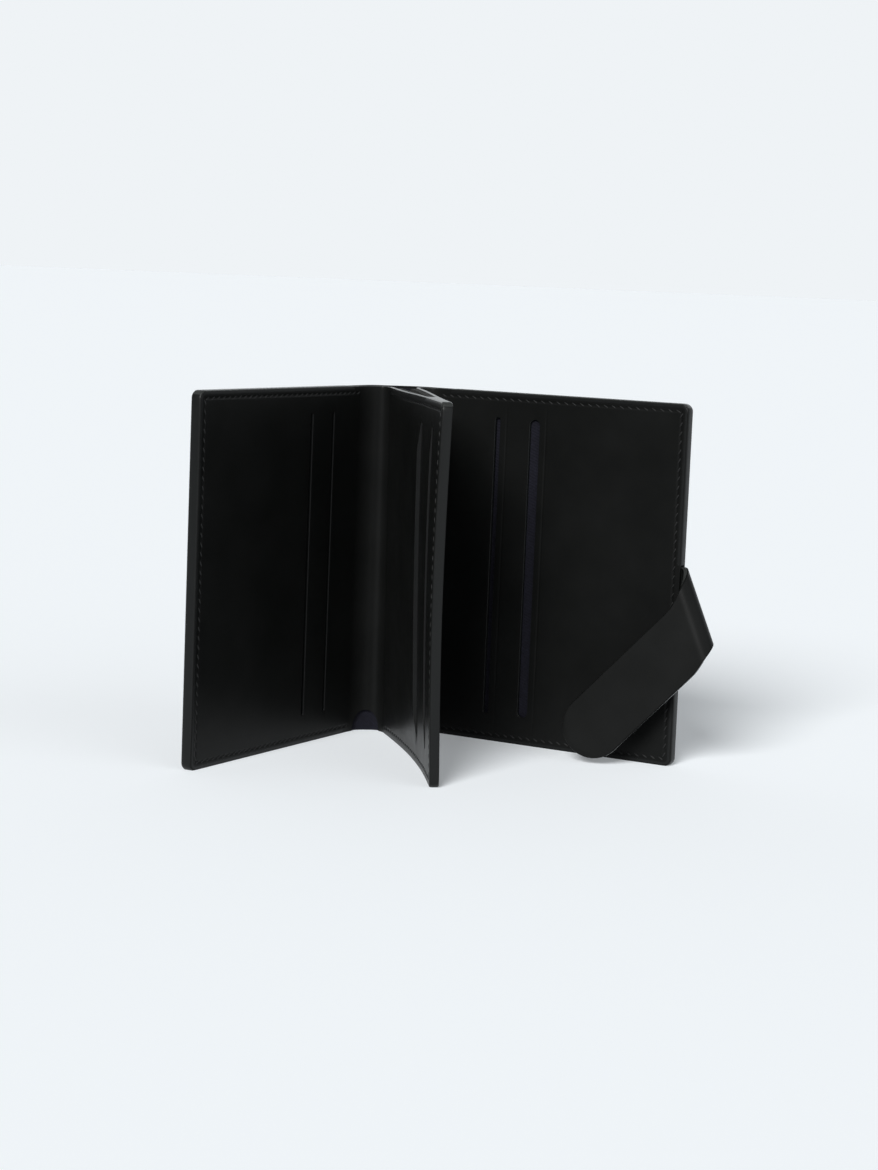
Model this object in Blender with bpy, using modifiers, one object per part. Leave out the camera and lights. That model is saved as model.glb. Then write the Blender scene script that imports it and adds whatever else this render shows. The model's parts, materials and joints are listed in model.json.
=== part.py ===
"""Bifold wallet with a centre page and a closing strap, standing open on its bottom edges.

The origin is the middle of the spine leather's bottom edge. +Z is up, +X is to the right of the open
wallet and +Y points away from its open side. Each leaf is built in the frame of its own fold line:
x runs from the fold to the free edge, z runs up, and y is the depth through the layers.
"""

import math

import bmesh
import bpy
from mathutils import Vector

MM = 0.001

# Leaves
HEIGHT = 105 * MM
LEAF_WIDTH = 90 * MM
CORNER = 2.2 * MM
FOLD_GAP = 0.3 * MM
SPINE_WIDTH = 12.8 * MM
RIGHT_ANGLE = math.radians(-30)
PAGE_ANGLE = math.radians(-80)
LEFT_ANGLE = math.radians(-120)

# Layers of a cover, counted outwards from its inner face: (start, thickness)
CARD_PANEL = (0.0 * MM, 0.8 * MM)
FRONT_POCKET = (0.95 * MM, 0.2 * MM)
BACK_POCKET = (1.3 * MM, 0.2 * MM)
BOARD = (1.65 * MM, 0.5 * MM)
OUTER_LEATHER = (2.3 * MM, 1.0 * MM)
STRAP_TAB = (0.95 * MM, 1.2 * MM)

# Layers of the page, counted both ways from its middle
PAGE_CORE = 0.2 * MM
PAGE_LINER = (0.25 * MM, 0.15 * MM)
PAGE_PANEL = (0.55 * MM, 0.8 * MM)

# Layers of the spine, from its outer face inwards along the page's x
SPINE_OUTER = (-3.3 * MM, 1.0 * MM)
SPINE_BOARD = (-2.1 * MM, 0.6 * MM)
GUSSET = (-0.9 * MM, 0.8 * MM)
CORE_ROOT = -1.2 * MM
SPINE_CLEARANCE = 0.3 * MM
NOTCH_HEIGHT = 6 * MM

# Card slots: distance from the fold and width
RIGHT_SLOTS = ((28.2 * MM, 1.6 * MM), (40.7 * MM, 3.2 * MM))
LEFT_SLOTS = ((23.0 * MM, 1.0 * MM), (34.5 * MM, 1.2 * MM))
PAGE_SLOTS = ((58.0 * MM, 1.2 * MM), (76.0 * MM, 1.0 * MM))
SLOT_BOTTOM = 8.3 * MM
SLOT_TOP = 97.5 * MM
POCKET_OVERLAP = 4 * MM
INNER_INSET = 2.5 * MM

# Stitching: a flat line of thread on the inner face
STITCH_INSET = 2.4 * MM
STITCH_WIDTH = 0.5 * MM
STITCH_DEPTH = 0.3 * MM
STITCH_GAP = 0.15 * MM
STITCH_START = 5 * MM

# Strap: it leaves the right cover's free edge and folds over to the front about a leaning line
STRAP_WIDTH = 18.5 * MM
STRAP_HEIGHT = 45.3 * MM
STRAP_ROOT = 79 * MM
STRAP_LEAN = math.radians(25.3)
STRAP_FOLD = math.radians(165.2)
STRAP_RADIUS = 2.0 * MM
STRAP_LENGTH = 41.2 * MM
FOLD_CENTRE = 94.9 * MM
FLEX_LINE = 4.0 * MM
FLEX_GAP = 0.3 * MM
STRAP_OUTER = (0.1 * MM, 0.8 * MM)
STRAP_CORE = (-0.3 * MM, 0.3 * MM)
STRAP_LINING = (-0.9 * MM, 0.5 * MM)

# The bend carries the strap down along its fold line by this much
STRAP_DROP = STRAP_RADIUS * STRAP_FOLD * math.tan(STRAP_LEAN)

# Press stud
STUD_FROM_FOLD = 65 * MM
SNAP_RADIUS = 5 * MM
POST_RADIUS = 1.5 * MM
POST_HOLE = 1.8 * MM
FLANGE_RADIUS = 4.2 * MM
FLANGE_HOLE = 4.6 * MM
LAYER_GAP = 0.1 * MM
SOCKET_FLANGE = 0.25 * MM
SOCKET_POST = 1.1 * MM
SOCKET_BASE = 0.4 * MM
SOCKET_WALL = 1.3 * MM
SOCKET_BORE = 3.6 * MM
STUD_FLANGE = 0.3 * MM
STUD_POST = 1.2 * MM
STUD_BASE = 0.5 * MM
STUD_HEIGHT = 1.4 * MM
STUD_BOSS = 2.8 * MM
TURNED_STEPS = 32
ARC_STEPS = 6


def clear_scene():
    for obj in list(bpy.data.objects):
        bpy.data.objects.remove(obj)


def new_collection(name):
    collection = bpy.data.collections.new(name)
    bpy.context.scene.collection.children.link(collection)
    return collection


def material(name, color, roughness, metallic=0.0):
    made = bpy.data.materials.new(name)
    made.use_nodes = True
    shader = made.node_tree.nodes["Principled BSDF"]
    shader.inputs["Base Color"].default_value = (*color, 1)
    shader.inputs["Roughness"].default_value = roughness
    shader.inputs["Metallic"].default_value = metallic
    return made


def axis_empty(name, location, turn, parent=None, lean=0.0):
    """A frame whose z axis is a fold line: turned about that line, then leant over about y."""
    empty = bpy.data.objects.new(name, None)
    WALLET.objects.link(empty)
    empty.empty_display_size = 10 * MM
    empty.parent = parent
    empty.location = location
    empty.rotation_mode = "ZYX"
    empty.rotation_euler = (0, -lean, turn)
    return empty


def arc(centre, radius, start, end, steps=ARC_STEPS):
    """Points of an arc from start to end, in degrees, both ends included."""
    angles = [math.radians(start + (end - start) * i / steps) for i in range(steps + 1)]
    return [(centre[0] + radius * math.cos(a), centre[1] + radius * math.sin(a)) for a in angles]


def rectangle(x0, x1, z0, z1):
    return [(x0, z0), (x1, z0), (x1, z1), (x0, z1)]


def leaf_outline(x0):
    """A leaf from x0 to its free edge, whose two free corners are round."""
    low = arc((LEAF_WIDTH - CORNER, CORNER), CORNER, 270, 360)
    high = arc((LEAF_WIDTH - CORNER, HEIGHT - CORNER), CORNER, 0, 90)
    return [(x0, 0)] + low + high + [(x0, HEIGHT)]


def slot(x, width):
    """A long slot with round ends, upright at distance x from the fold."""
    radius = width / 2
    upper = arc((x, SLOT_TOP - radius), radius, 0, 180)
    lower = arc((x, SLOT_BOTTOM + radius), radius, 180, 360)
    return upper + lower


def circle(x, z, radius):
    return arc((x, z), radius, 0, 360 - 360 / 24, 23)


def plate(name, look, parent, splines, middle, thickness):
    """A flat piece that stands in its leaf's x-z plane, centred on depth y = middle."""
    curve = bpy.data.curves.new(name, "CURVE")
    curve.dimensions = "2D"
    curve.fill_mode = "BOTH"
    curve.extrude = thickness / 2
    for points in splines:
        spline = curve.splines.new("POLY")
        spline.points.add(len(points) - 1)
        for point, (x, z) in zip(spline.points, points):
            point.co = (x, z, 0, 1)
        spline.use_cyclic_u = True
    obj = bpy.data.objects.new(name, curve)
    WALLET.objects.link(obj)
    obj.parent = parent
    obj.location = (0, middle, 0)
    obj.rotation_euler = (math.pi / 2, 0, 0)
    curve.materials.append(look)
    return obj


def layer_middle(layer, side=1):
    """Depth of a layer's middle; side is the way that counts as outwards."""
    start, thickness = layer
    return side * (start + thickness / 2)


def turned(name, look, parent, profile, location, outwards):
    """A turned piece whose profile of (radius, height) runs down its outer side first."""
    mesh = bpy.data.meshes.new(name)
    shape = bmesh.new()
    points = [shape.verts.new((radius, 0, height)) for radius, height in profile]
    closed = profile[0][0] > 0
    for first, second in zip(points, points[1:] + points[:1] if closed else points[1:]):
        shape.edges.new((first, second))
    shape.to_mesh(mesh)
    shape.free()
    mesh.materials.append(look)
    obj = bpy.data.objects.new(name, mesh)
    WALLET.objects.link(obj)
    obj.parent = parent
    obj.location = location
    obj.rotation_euler = Vector((0, 0, 1)).rotation_difference(Vector(outwards)).to_euler()
    screw = obj.modifiers.new("turn", "SCREW")
    screw.steps = TURNED_STEPS
    screw.render_steps = TURNED_STEPS
    screw.use_merge_vertices = True
    screw.merge_threshold = 0.00001
    return obj


def stitch_line(name, look, parent, side, face, x_start):
    """The seam along a leaf's top, free edge and bottom, lying just off the face at depth face."""
    low, high = STITCH_INSET, STITCH_INSET + STITCH_WIDTH
    right = LEAF_WIDTH - low
    radius = CORNER
    outer = arc((right - radius, low + radius), radius, 270, 360)
    outer += arc((right - radius, HEIGHT - low - radius), radius, 0, 90)
    inner = arc((right - radius, HEIGHT - low - radius), radius - STITCH_WIDTH, 90, 0)
    inner += arc((right - radius, low + radius), radius - STITCH_WIDTH, 360, 270)
    outline = [(x_start, low)] + outer + [(x_start, HEIGHT - low), (x_start, HEIGHT - high)]
    outline += inner + [(x_start, high)]
    middle = face + side * (STITCH_GAP + STITCH_DEPTH / 2)
    return plate(name, look, parent, [outline], middle, STITCH_DEPTH)


def notched(x0, x1, z0, z1):
    """A rectangle with room at its free edge for the strap's sewn tab."""
    reach = STRAP_WIDTH / 2 + FOLD_GAP
    low, high = STRAP_HEIGHT - reach, STRAP_HEIGHT + reach
    root = STRAP_ROOT - FOLD_GAP
    return [(x0, z0), (x1, z0), (x1, low), (root, low), (root, high), (x1, high), (x1, z1), (x0, z1)]


def cover(hand, frame, side, slots):
    """The layers of one cover leaf, from its slotted card panel to its outer leather."""
    low, high = INNER_INSET, HEIGHT - INNER_INSET
    free = LEAF_WIDTH - INNER_INSET
    inner = notched if hand == "right" else rectangle
    near, far = slots

    def layer(name, look, splines, depths):
        plate(f"{hand}_{name}", look, frame, splines, layer_middle(depths, side), depths[1])

    panel = [leaf_outline(FOLD_GAP)] + [slot(x, width) for x, width in slots]
    board = [inner(INNER_INSET, free, low, high)]
    skin = [leaf_outline(FOLD_GAP)]
    if hand == "left":
        board.append(circle(STUD_FROM_FOLD, STRAP_HEIGHT, FLANGE_HOLE))
        skin.append(circle(STUD_FROM_FOLD, STRAP_HEIGHT, POST_HOLE))
    layer("card_panel", LEATHER, panel, CARD_PANEL)
    layer("front_pocket_liner", LINING, [inner(far[0] - POCKET_OVERLAP, free, low, high)], FRONT_POCKET)
    layer("back_pocket_liner", LINING, [inner(near[0] - POCKET_OVERLAP, free, low, high)], BACK_POCKET)
    layer("stiffener_board", CARD, board, BOARD)
    layer("outer_leather", LEATHER, skin, OUTER_LEATHER)
    stitch_line(f"{hand}_panel_stitching", THREAD, frame, -side, 0.0, STITCH_START)


def page(frame):
    """The centre page: two slotted panels, their pocket liners and a core between them."""
    middle = -SPINE_WIDTH / 2
    low, high = INNER_INSET, HEIGHT - INNER_INSET
    panel = [leaf_outline(0)] + [slot(x, width) for x, width in PAGE_SLOTS]
    liner = [rectangle(PAGE_SLOTS[0][0] - POCKET_OVERLAP, LEAF_WIDTH - INNER_INSET, low, high)]
    for face, side in (("front", -1), ("back", 1)):
        panel_middle = middle + layer_middle(PAGE_PANEL, side)
        plate(f"page_{face}_panel", LEATHER, frame, panel, panel_middle, PAGE_PANEL[1])
        liner_middle = middle + layer_middle(PAGE_LINER, side)
        plate(f"page_{face}_pocket_liner", LINING, frame, liner, liner_middle, PAGE_LINER[1])
        surface = middle + side * (PAGE_PANEL[0] + PAGE_PANEL[1])
        stitch_line(f"page_{face}_stitching", THREAD, frame, side, surface, STITCH_START)
    core = rectangle(CORE_ROOT, LEAF_WIDTH - INNER_INSET, low, high)
    plate("page_core", LINING, frame, [core], middle, PAGE_CORE)


def spine_strip(name, look, frame, layer, y_range, z_range, notch=0.0):
    """An upright strip across the spine, facing along the page's x, with a notched or straight foot."""
    outline = rectangle(*y_range, *z_range)
    if notch:
        middle, half = sum(y_range) / 2, (y_range[1] - y_range[0]) / 2
        arch = arc((0, 0), 1, 180, 0, 2 * ARC_STEPS)
        outline[:2] = [(middle + half * y, z_range[0] + notch * z) for y, z in arch]
    strip = plate(name, look, frame, [outline], 0, layer[1])
    strip.location = (layer[0] + layer[1] / 2, 0, 0)
    strip.rotation_euler = (math.pi / 2, 0, math.pi / 2)


def spine(frame):
    """The outer spine leather, its reinforcement and the two gussets that meet the page."""
    middle = -SPINE_WIDTH / 2
    reach = SPINE_WIDTH / 2 - SPINE_CLEARANCE
    panel = PAGE_PANEL[0] + PAGE_PANEL[1] + SPINE_CLEARANCE
    across = (middle - reach, middle + reach)
    full, inner = (0, HEIGHT), (INNER_INSET, HEIGHT - INNER_INSET)
    spine_strip("spine_leather", LEATHER, frame, SPINE_OUTER, across, full)
    spine_strip("spine_reinforcement", CARD, frame, SPINE_BOARD, across, inner)
    spine_strip("front_gusset", LEATHER, frame, GUSSET, (middle - reach, middle - panel), full, NOTCH_HEIGHT)
    spine_strip("back_gusset", LEATHER, frame, GUSSET, (middle + panel, middle + reach), full)


def strap_tab(frame):
    """The strap's root, sewn between the right cover's layers and cut along the leaning fold line."""
    half = STRAP_WIDTH / 2
    line = FOLD_CENTRE - FOLD_GAP / math.cos(STRAP_LEAN)
    slant = half * math.tan(STRAP_LEAN)
    low, high = STRAP_HEIGHT - half, STRAP_HEIGHT + half
    outline = [(STRAP_ROOT, low), (line + slant, low), (line - slant, high), (STRAP_ROOT, high)]
    plate("strap_tab", LEATHER, frame, [outline], layer_middle(STRAP_TAB), STRAP_TAB[1])


def strap_edge(x, offset):
    """Where the strap's lengthwise line at this offset from its middle meets the line x past the fold."""
    along = (x - offset * math.sin(STRAP_LEAN)) / math.cos(STRAP_LEAN)
    return (x, offset * math.cos(STRAP_LEAN) - along * math.sin(STRAP_LEAN) - STRAP_DROP)


def strap_root(frame):
    """The strap's first short stretch past its fold, up to the line where its run flexes."""
    half = STRAP_WIDTH / 2
    start, end = FOLD_GAP, FLEX_LINE - FLEX_GAP
    corners = ((start, -half), (end, -half), (end, half), (start, half))
    outline = [strap_edge(x, offset) for x, offset in corners]
    for name, layer in (("leather", STRAP_OUTER), ("lining", STRAP_LINING)):
        depth = STRAP_RADIUS + layer_middle(layer)
        plate(f"strap_root_{name}", LEATHER, frame, [outline], depth, layer[1])


def strap_run(frame):
    """The strap past its flex line, with the press stud's socket in its round end."""
    centre = (
        STRAP_LENGTH * math.cos(STRAP_LEAN) - FLEX_LINE,
        -STRAP_LENGTH * math.sin(STRAP_LEAN) - STRAP_DROP,
    )
    heading = -math.degrees(STRAP_LEAN)
    for name, look, layer, trim, hole in (
        ("strap_outer_leather", LEATHER, STRAP_OUTER, 0.0, 0.0),
        ("strap_core", CARD, STRAP_CORE, 1.5 * MM, FLANGE_HOLE),
        ("strap_lining_leather", LEATHER, STRAP_LINING, 0.0, POST_HOLE),
    ):
        half = STRAP_WIDTH / 2 - trim
        start = FLEX_LINE + FLEX_GAP
        edges = [strap_edge(start, half), strap_edge(start, -half)]
        outline = arc(centre, half, heading - 90, heading + 90, 2 * ARC_STEPS)
        outline += [(x - FLEX_LINE, z) for x, z in edges]
        splines = [outline, circle(*centre, hole)] if hole else [outline]
        plate(name, look, frame, splines, layer_middle(layer), layer[1])
    inner_face = STRAP_LINING[0]
    rivet_depth = STRAP_LINING[1] + LAYER_GAP
    post_end = -rivet_depth - SOCKET_POST
    rivet = [(0, SOCKET_FLANGE), (FLANGE_RADIUS, SOCKET_FLANGE), (FLANGE_RADIUS, 0), (POST_RADIUS, 0)]
    rivet += [(POST_RADIUS, post_end), (0, post_end)]
    place = (centre[0], inner_face + rivet_depth, centre[1])
    turned("snap_socket_rivet", BRASS, frame, rivet, place, (0, 1, 0))
    socket = [(SNAP_RADIUS, SOCKET_WALL), (SNAP_RADIUS, 0), (POST_HOLE, 0), (POST_HOLE, SOCKET_BASE)]
    socket += [(SOCKET_BORE, SOCKET_BASE), (SOCKET_BORE, SOCKET_WALL)]
    turned("snap_socket", BRASS, frame, socket, (centre[0], inner_face - LAYER_GAP, centre[1]), (0, -1, 0))


def stud(frame):
    """The press stud's other half, riveted through the left cover's outer leather."""
    outer_face = OUTER_LEATHER[0] + OUTER_LEATHER[1]
    flange_face = BOARD[0] + LAYER_GAP
    post_end = outer_face - flange_face + STUD_POST
    post = [(0, post_end), (POST_RADIUS, post_end), (POST_RADIUS, STUD_FLANGE)]
    post += [(FLANGE_RADIUS, STUD_FLANGE), (FLANGE_RADIUS, 0), (0, 0)]
    turned("snap_post", BRASS, frame, post, (STUD_FROM_FOLD, -flange_face, STRAP_HEIGHT), (0, -1, 0))
    ring = [(STUD_BOSS, STUD_HEIGHT), (STUD_BOSS, STUD_BASE), (SNAP_RADIUS, STUD_BASE), (SNAP_RADIUS, 0)]
    ring += [(POST_HOLE, 0), (POST_HOLE, STUD_HEIGHT)]
    place = (STUD_FROM_FOLD, -outer_face - LAYER_GAP, STRAP_HEIGHT)
    turned("snap_stud", BRASS, frame, ring, place, (0, -1, 0))


clear_scene()
WALLET = new_collection("bifold_wallet")
LEATHER = material("black_calf", (0.012, 0.013, 0.013), 0.35)
LINING = material("navy_lining", (0.012, 0.014, 0.035), 0.8)
CARD = material("stiffener", (0.09, 0.08, 0.07), 0.8)
THREAD = material("black_thread", (0.02, 0.02, 0.022), 0.5)
BRASS = material("snap_metal", (0.35, 0.33, 0.3), 0.3, 1.0)

page_direction = Vector((math.cos(PAGE_ANGLE), math.sin(PAGE_ANGLE), 0))
across_spine = Vector((-page_direction.y, page_direction.x, 0))
page_root = page_direction * -(SPINE_OUTER[0] + SPINE_OUTER[1] / 2)
right_fold = page_root + across_spine * SPINE_WIDTH / 2

right_frame = axis_empty("right_cover_frame", right_fold, RIGHT_ANGLE)
page_frame = axis_empty("page_fold_axis", right_fold, PAGE_ANGLE)
left_frame = axis_empty("cover_fold_axis", (0, -SPINE_WIDTH, 0), LEFT_ANGLE - PAGE_ANGLE, page_frame)
strap_place = (FOLD_CENTRE, layer_middle(STRAP_TAB) - STRAP_RADIUS, STRAP_HEIGHT)
strap_frame = axis_empty("strap_fold_axis", strap_place, -STRAP_FOLD, right_frame, STRAP_LEAN)
flex_frame = axis_empty("strap_flex_axis", (FLEX_LINE, STRAP_RADIUS, 0), 0, strap_frame)

cover("right", right_frame, 1, RIGHT_SLOTS)
cover("left", left_frame, -1, LEFT_SLOTS)
page(page_frame)
spine(page_frame)
strap_tab(right_frame)
strap_root(strap_frame)
strap_run(flex_frame)
stud(left_frame)
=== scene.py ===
"""The looks of the bifold wallet: black box calf with painted edges, real stitches and a navy lining.

Lengths are in millimetres and angles in radians until a point goes into a mesh. Most shapes are drawn in
the page's frame: its origin is the foot of the spine's middle, x runs along the page to its free edge,
y points to the right cover and z is up.
"""

import json
import math

import bmesh
import bpy
from mathutils import Matrix, Vector


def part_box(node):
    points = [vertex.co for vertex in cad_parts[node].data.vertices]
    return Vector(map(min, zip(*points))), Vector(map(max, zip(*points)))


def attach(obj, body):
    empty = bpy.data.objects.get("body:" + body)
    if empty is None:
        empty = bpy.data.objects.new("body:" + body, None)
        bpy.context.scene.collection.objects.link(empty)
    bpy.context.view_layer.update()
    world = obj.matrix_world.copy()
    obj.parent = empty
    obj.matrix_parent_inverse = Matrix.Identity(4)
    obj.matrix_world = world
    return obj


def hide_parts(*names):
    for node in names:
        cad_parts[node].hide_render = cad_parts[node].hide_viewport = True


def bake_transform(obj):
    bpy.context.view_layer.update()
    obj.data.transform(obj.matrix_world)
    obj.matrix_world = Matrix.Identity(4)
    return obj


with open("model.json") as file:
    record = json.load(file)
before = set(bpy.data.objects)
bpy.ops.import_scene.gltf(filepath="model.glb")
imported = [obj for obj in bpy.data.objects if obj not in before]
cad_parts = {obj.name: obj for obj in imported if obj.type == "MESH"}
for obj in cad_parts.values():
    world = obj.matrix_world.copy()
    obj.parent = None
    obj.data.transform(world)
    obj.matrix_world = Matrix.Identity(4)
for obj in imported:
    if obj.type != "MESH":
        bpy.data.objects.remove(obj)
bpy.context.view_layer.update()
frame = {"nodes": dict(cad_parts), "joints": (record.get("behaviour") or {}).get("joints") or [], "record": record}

MM = 0.001
UP = Vector((0, 0, 1))

# Card slots: distance from the fold and width
RIGHT_SLOTS = ((28.2, 1.6), (40.7, 3.2))
LEFT_SLOTS = ((23.0, 1.0), (34.5, 1.2))
PAGE_SLOTS = ((58.0, 1.2), (76.0, 1.0))
SLOT_LOW, SLOT_HIGH = 8.3, 97.5
SLOT_RIM = 0.18
PAGE_SLOT_DEPTH = 0.8
PAGE_LIPS = (1.0, 0.35)
# Creases pressed beside the slots, as distances from the fold
RIGHT_CREASES = (31.2, 44.5)
CREASE_DEPTH, CREASE_HALF = 0.12, 0.4
CREASE_LOW, CREASE_HIGH = 12, 96

# Leaves
PANEL, SKIN, COVER = 0.9, 1.0, 3.3
CORNER = 2.2
RIM = 0.28
SEAM_INSET = 2.1
GROOVE_DEPTH, GROOVE_HALF = 0.12, 0.55
STITCH_PITCH, STITCH_LENGTH, STITCH_RADIUS = 2.6, 1.65, 0.2
STITCH_SLANT = math.radians(30)
SEAM_START = 9.5
EDGE_START, PAGE_HEAD_START = 8, 58
# The painted edges, which wrap over both skins
EDGE_BULGE, EDGE_ROUND, EDGE_WRAP, EDGE_COAT = 0.12, 0.6, 0.45, 0.03

# The page's faces, as y at its head and foot, and how far it bows, sways and gapes
PAGE_FRONT_HEAD, PAGE_BACK_HEAD = -1.45, 1.45
PAGE_FRONT_GAPE, PAGE_BACK_GAPE = 1.6, 4.3
PAGE_FOOT_ROOT, PAGE_FOOT_BOW, PAGE_BOW_LENGTH = -2.2, 3.2, 105
PAGE_FOOT_THICK, PAGE_FOOT_WAIST = 2.7, 0.5
PAGE_SWAY = 1.0
PAGE_GAP = 1.2

# The valley between a leaf and the page, and the outside of the spine
VALLEY_LEAF, VALLEY_PAGE = 9.5, 8.5
VALLEY_FLOOR_LEAF, VALLEY_FLOOR_PAGE = 5.6, 4.4
VALLEY_TURN = 0.42
VALLEY_TURN_END = 0.46
SPINE_FACE = -3.3
SPINE_TURN = 3.0
SPINE_LEAF = 5.0
NOTCH_MIDDLE, NOTCH_HALF, NOTCH_HEIGHT = -1.2, 5.6, 6.4

# Strap, as lengths from its fold line; its root is a little wider and higher than its run
STRAP_HALF = 9.25
STRAP_FLARE, STRAP_LIFT = 0.13, 4.0
ROOT_END, RUN_START = 3.0, 13.6
STRAP_THICK, TAB_THICK = 0.8, 0.6
STRAP_SHIFT = (-0.24, -1.2, -1.15)
STRAP_RADIUS = 3.2
STRAP_LEAN = math.radians(23.9)
STRAP_FOLD = math.radians(169)
STRAP_REACH = 50.5
STRAP_ROOT = 12.0
STRAP_SEAM = 2.0
FLEX_START, FLEX_END = 2.5, 8.0
TAB_MARGIN = 1.4

# Distances outwards and inwards of the spine's folds, given to blend_to_page
VALLEY_BLEND = (2.2, 0.4)
SPINE_BLEND = (3.0, 1.5)

# The linings behind the spine and the front valley, and the raw layers inside the page
LINING_INSET = 0.6
SPINE_LINING_THICK, SPINE_LINING_X = 0.35, -1.6
VALLEY_LINING, VALLEY_LINING_THICK, VALLEY_LINING_GAP = (-8.5, 7.5), 0.3, 0.1
BACKING_ROOT, BACKING_EDGE, BACKING_FOOT, BACKING_HEAD = 7.6, 0.8, 0.4, 0.35

# Corners sharper than these stay sharp in the shading
SHARP_SKIN, SHARP_STRAP, SHARP_EDGE = math.radians(35), math.radians(50), math.radians(60)

# Studio
PALE = (0.863, 0.896, 0.921)
FLOOR_FRONT = -0.45
FLOOR_SHADE, FLOOR_GLOW = 0.9, 0.228
WORLD_FRONT, WORLD_TOP = 0.14, 0.14
KEY_ENERGY = 3.85
KEY_ANGLE, KEY_AZIMUTH, KEY_HEIGHT = 26, 20, 31
WORLD_DEPTH, WORLD_HEIGHT, CARD_SPAN = (-0.1, 0.7), (0.2, 0.75), (0.6, 0.9)
CARD_SIDE, CARD_GLOW = (0.76, -0.64, 0.1), 1.2

# Camera: lens and sensor in mm, pitch and roll in degrees, place from the page's frame in mm
CAMERA_LENS, CAMERA_SENSOR = 76.92, 36
CAMERA_PITCH, CAMERA_ROLL = 7.01, 2.33
CAMERA_PLACE = (15.2, -757.5, 138.1)


# ---------------------------------------------------------------- frames


def flat_frame(origin, y_axis):
    """A frame at origin whose z is up and whose y is y_axis."""
    y_axis = Vector(y_axis).normalized()
    x_axis = y_axis.cross(UP)
    frame_matrix = Matrix((x_axis, y_axis, UP)).transposed().to_4x4()
    frame_matrix.translation = origin
    return frame_matrix


JOINTS = {joint["name"]: joint for joint in frame["joints"]}
MOUNTS = {mount["name"]: mount for mount in frame["record"]["mounts"]}
RIGHT_FOLD = Vector(JOINTS["page_fold"]["pos_m"])
LEFT_FOLD = Vector(JOINTS["cover_fold"]["pos_m"])
PAGE = flat_frame((RIGHT_FOLD + LEFT_FOLD) / 2, RIGHT_FOLD - LEFT_FOLD)
RIGHT = flat_frame(RIGHT_FOLD, MOUNTS["right_cover_back"]["axis"])
LEFT = flat_frame(LEFT_FOLD, -Vector(MOUNTS["left_cover_back"]["axis"]))
HALF_SPINE = (RIGHT_FOLD - LEFT_FOLD).length / 2 / MM
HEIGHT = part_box("right_outer_leather")[1].z / MM
WIDTH = max((RIGHT.inverted() @ v.co).x for v in frame["nodes"]["right_outer_leather"].data.vertices) / MM


def angle_from_page(leaf):
    """How far a leaf is turned from the page, in radians."""
    return (leaf.to_3x3().col[0]).angle(PAGE.to_3x3().col[0])


# ---------------------------------------------------------------- shape of the page


def smooth(value, low, high):
    t = min(max((value - low) / (high - low), 0), 1)
    return t * t * (3 - 2 * t)


def mix(a, b, t):
    return a + (b - a) * t


def page_lip(x, z):
    """The mouths of the page's pockets stand proud on the side towards the spine."""
    rise = 0
    for (slot, width), height in zip(PAGE_SLOTS, PAGE_LIPS):
        if x <= slot - width / 2 + 0.05:
            ends = smooth(z, 5, 16) * smooth(HEIGHT - z, 5, 16)
            rise += height * smooth(x, slot - 26, slot - 2) * ends
    return rise


def page_sway(x, z):
    """Halfway up, the page's free edge leans towards the left cover."""
    return -PAGE_SWAY * math.sin(math.pi * z / HEIGHT) * smooth(x, 15, WIDTH)


def page_foot(x):
    """y of the front face at the page's foot, which bows towards the right cover."""
    return PAGE_FOOT_ROOT + PAGE_FOOT_BOW * math.sin(math.pi * x / PAGE_BOW_LENGTH)


def page_front(x, z):
    """y of the page's front face."""
    head = PAGE_FRONT_HEAD - PAGE_FRONT_GAPE * (1 - smooth(x, 25, 62))
    return mix(page_foot(x), head, z / HEIGHT) + page_sway(x, z)


def page_back(x, z):
    """y of the page's back face, which gapes at the head near the root."""
    head = PAGE_BACK_HEAD + PAGE_BACK_GAPE * (1 - smooth(x, 5, 95))
    thick = PAGE_FOOT_THICK - PAGE_FOOT_WAIST * math.sin(math.pi * x / WIDTH)
    return mix(page_foot(x) + thick, head, (z / HEIGHT) ** 2) + page_sway(x, z)


def page_gap(x, z):
    """Half the gap between the page's two sides."""
    return PAGE_GAP * (1 - smooth(x, 20, 52)) * (z / HEIGHT) ** 2


# ---------------------------------------------------------------- from (u, depth, z) to the page's frame


def bezier(points, t):
    """Point and unit tangent of a cubic Bezier curve in the plan."""
    a, b, c, d = (Vector(p) for p in points)
    s = 1 - t
    point = a * s**3 + b * 3 * s * s * t + c * 3 * s * t * t + d * t**3
    tangent = (b - a) * s * s + (c - b) * 2 * s * t + (d - c) * t * t
    return point, tangent.normalized()


def quadratic(a, b, c, t):
    """Point and unit tangent of a quadratic Bezier curve."""
    point = a * (1 - t) ** 2 + b * 2 * t * (1 - t) + c * t * t
    return point, ((b - a) * (1 - t) + (c - b) * t).normalized()


def valley_curve(start, low, high, end, t):
    """A flat floor from low to high with a round turn into each side: point and unit tangent at t."""
    near, far = low.lerp(high, VALLEY_TURN), low.lerp(high, 1 - VALLEY_TURN)
    if t < VALLEY_TURN_END:
        return quadratic(start, low, near, t / VALLEY_TURN_END)
    if t <= 1 - VALLEY_TURN_END:
        flat = (t - VALLEY_TURN_END) / (1 - 2 * VALLEY_TURN_END)
        return near.lerp(far, flat), (far - near).normalized()
    return quadratic(far, high, end, (t - 1 + VALLEY_TURN_END) / VALLEY_TURN_END)


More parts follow.
